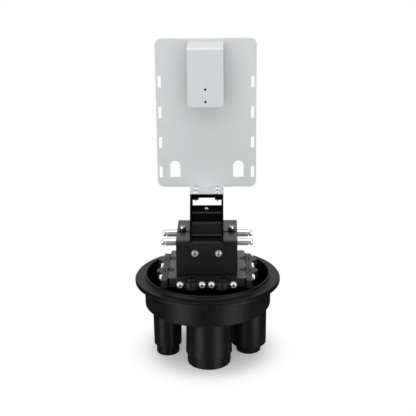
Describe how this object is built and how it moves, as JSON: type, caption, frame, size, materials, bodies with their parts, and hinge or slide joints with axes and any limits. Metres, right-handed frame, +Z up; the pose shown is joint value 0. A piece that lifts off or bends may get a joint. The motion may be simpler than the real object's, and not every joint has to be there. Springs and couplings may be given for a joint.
{
  "type": "dome splice closure base",
  "caption": "Base of a dome splice closure: round housing with tubular cable ports and gland nuts, cable clamps, folded bracket and an upright tray plate with a hook.",
  "frame": {"origin": "on the ground plane under the gland nuts, on the housing's axis", "axes": "+Z up, -Y towards the side with the steps and the hook, +X to the viewer's right"},
  "size_m": [0.23, 0.23, 0.505],
  "materials": {
    "housing_black": "moulded, fine grain",
    "nut_black": "moulded, satin",
    "seal_rubber": "matt rubber",
    "block_black": "moulded, satin",
    "ring_black": "moulded, satin",
    "bracket_black": "black powder coat",
    "post_metal": "bright plated",
    "bright_screw": "bright plated",
    "dark_rivet": "dark plated",
    "plate_grey": "pale grey powder coat"
  },
  "bodies": {
    "base": {"base_housing": "housing_black", "front_sealing_plug": "seal_rubber", "left_sealing_plug": "seal_rubber", "right_sealing_plug": "seal_rubber", "rear_sealing_plug": "seal_rubber", "clamp_block": "block_black", "block_screws": "bright_screw", "front_cable_ring_1": "ring_black", "front_cable_ring_2": "ring_black", "right_cable_ring_1": "ring_black", "right_cable_ring_2": "ring_black", "rear_cable_ring_1": "ring_black", "rear_cable_ring_2": "ring_black", "left_cable_ring_1": "ring_black", "left_cable_ring_2": "ring_black", "bridge_bracket": "bracket_black", "post_carrier": "bracket_black", "left_front_strength_post": "post_metal", "left_rear_strength_post": "post_metal", "right_front_strength_post": "post_metal", "right_rear_strength_post": "post_metal", "tray_channel": "bracket_black", "hinge_steps": "bracket_black", "strap_rivet": "dark_rivet", "ear_bolts": "bright_screw", "ear_washers": "bright_screw", "lug_screws": "bright_screw", "lug_washers": "bright_screw", "tray_plate": "plate_grey", "neck_screws": "bright_screw", "tray_hook": "plate_grey", "hook_rivets": "bright_screw"},
    "front_clamp": {"front_saddle_bar": "block_black", "front_saddle_bolts": "bright_screw", "front_saddle_washers": "bright_screw"},
    "right_clamp": {"right_saddle_bar": "block_black", "right_saddle_bolts": "bright_screw", "right_saddle_washers": "bright_screw"},
    "rear_clamp": {"rear_saddle_bar": "block_black", "rear_saddle_bolts": "bright_screw", "rear_saddle_washers": "bright_screw"},
    "left_clamp": {"left_saddle_bar": "block_black", "left_saddle_bolts": "bright_screw", "left_saddle_washers": "bright_screw"},
    "left_front_screw": {"left_front_clamp_screw": "bright_screw"},
    "left_rear_screw": {"left_rear_clamp_screw": "bright_screw"},
    "right_front_screw": {"right_front_clamp_screw": "bright_screw"},
    "right_rear_screw": {"right_rear_clamp_screw": "bright_screw"},
    "front_ring": {"front_pressure_ring": "nut_black"},
    "front_nut": {"front_gland_nut": "nut_black"},
    "left_ring": {"left_pressure_ring": "nut_black"},
    "left_nut": {"left_gland_nut": "nut_black"},
    "right_ring": {"right_pressure_ring": "nut_black"},
    "right_nut": {"right_gland_nut": "nut_black"},
    "rear_ring": {"rear_pressure_ring": "nut_black"},
    "rear_nut": {"rear_gland_nut": "nut_black"}
  },
  "joints": [
    {"name": "front_clamp_slide", "type": "slide", "parent": "base", "child": "front_clamp", "axis": [0, -1, 0], "range_m": [0, 0.006]},
    {"name": "right_clamp_slide", "type": "slide", "parent": "base", "child": "right_clamp", "axis": [1, 0, 0], "range_m": [0, 0.006]},
    {"name": "rear_clamp_slide", "type": "slide", "parent": "base", "child": "rear_clamp", "axis": [0, 1, 0], "range_m": [0, 0.006]},
    {"name": "left_clamp_slide", "type": "slide", "parent": "base", "child": "left_clamp", "axis": [-1, 0, 0], "range_m": [0, 0.006]},
    {"name": "left_front_screw_slide", "type": "slide", "parent": "base", "child": "left_front_screw", "axis": [-1, 0, 0], "range_m": [0, 0.006]},
    {"name": "left_rear_screw_slide", "type": "slide", "parent": "base", "child": "left_rear_screw", "axis": [-1, 0, 0], "range_m": [0, 0.006]},
    {"name": "right_front_screw_slide", "type": "slide", "parent": "base", "child": "right_front_screw", "axis": [1, 0, 0], "range_m": [0, 0.006]},
    {"name": "right_rear_screw_slide", "type": "slide", "parent": "base", "child": "right_rear_screw", "axis": [1, 0, 0], "range_m": [0, 0.006]},
    {"name": "front_ring_slide", "type": "slide", "parent": "base", "child": "front_ring", "axis": [0, 0, -1], "range_m": [0, 0.008]},
    {"name": "front_nut_turn", "type": "hinge", "parent": "front_ring", "child": "front_nut", "pos_m": [0.002, -0.04, 0], "axis": [0, 0, -1], "range_deg": [0, 720]},
    {"name": "left_ring_slide", "type": "slide", "parent": "base", "child": "left_ring", "axis": [0, 0, -1], "range_m": [0, 0.008]},
    {"name": "left_nut_turn", "type": "hinge", "parent": "left_ring", "child": "left_nut", "pos_m": [-0.065, -0.006, 0], "axis": [0, 0, -1], "range_deg": [0, 720]},
    {"name": "right_ring_slide", "type": "slide", "parent": "base", "child": "right_ring", "axis": [0, 0, -1], "range_m": [0, 0.008]},
    {"name": "right_nut_turn", "type": "hinge", "parent": "right_ring", "child": "right_nut", "pos_m": [0.0655, 0.0005, 0], "axis": [0, 0, -1], "range_deg": [0, 720]},
    {"name": "rear_ring_slide", "type": "slide", "parent": "base", "child": "rear_ring", "axis": [0, 0, -1], "range_m": [0, 0.008]},
    {"name": "rear_nut_turn", "type": "hinge", "parent": "rear_ring", "child": "rear_nut", "pos_m": [0, 0.052, 0], "axis": [0, 0, -1], "range_deg": [0, 720]}
  ],
  "couplings": [
    {"joint": "front_ring_slide", "follows": "front_nut_turn", "m_per_rad": 0.0006366},
    {"joint": "left_ring_slide", "follows": "left_nut_turn", "m_per_rad": 0.0006366},
    {"joint": "right_ring_slide", "follows": "right_nut_turn", "m_per_rad": 0.0006366},
    {"joint": "rear_ring_slide", "follows": "rear_nut_turn", "m_per_rad": 0.0006366}
  ]
}
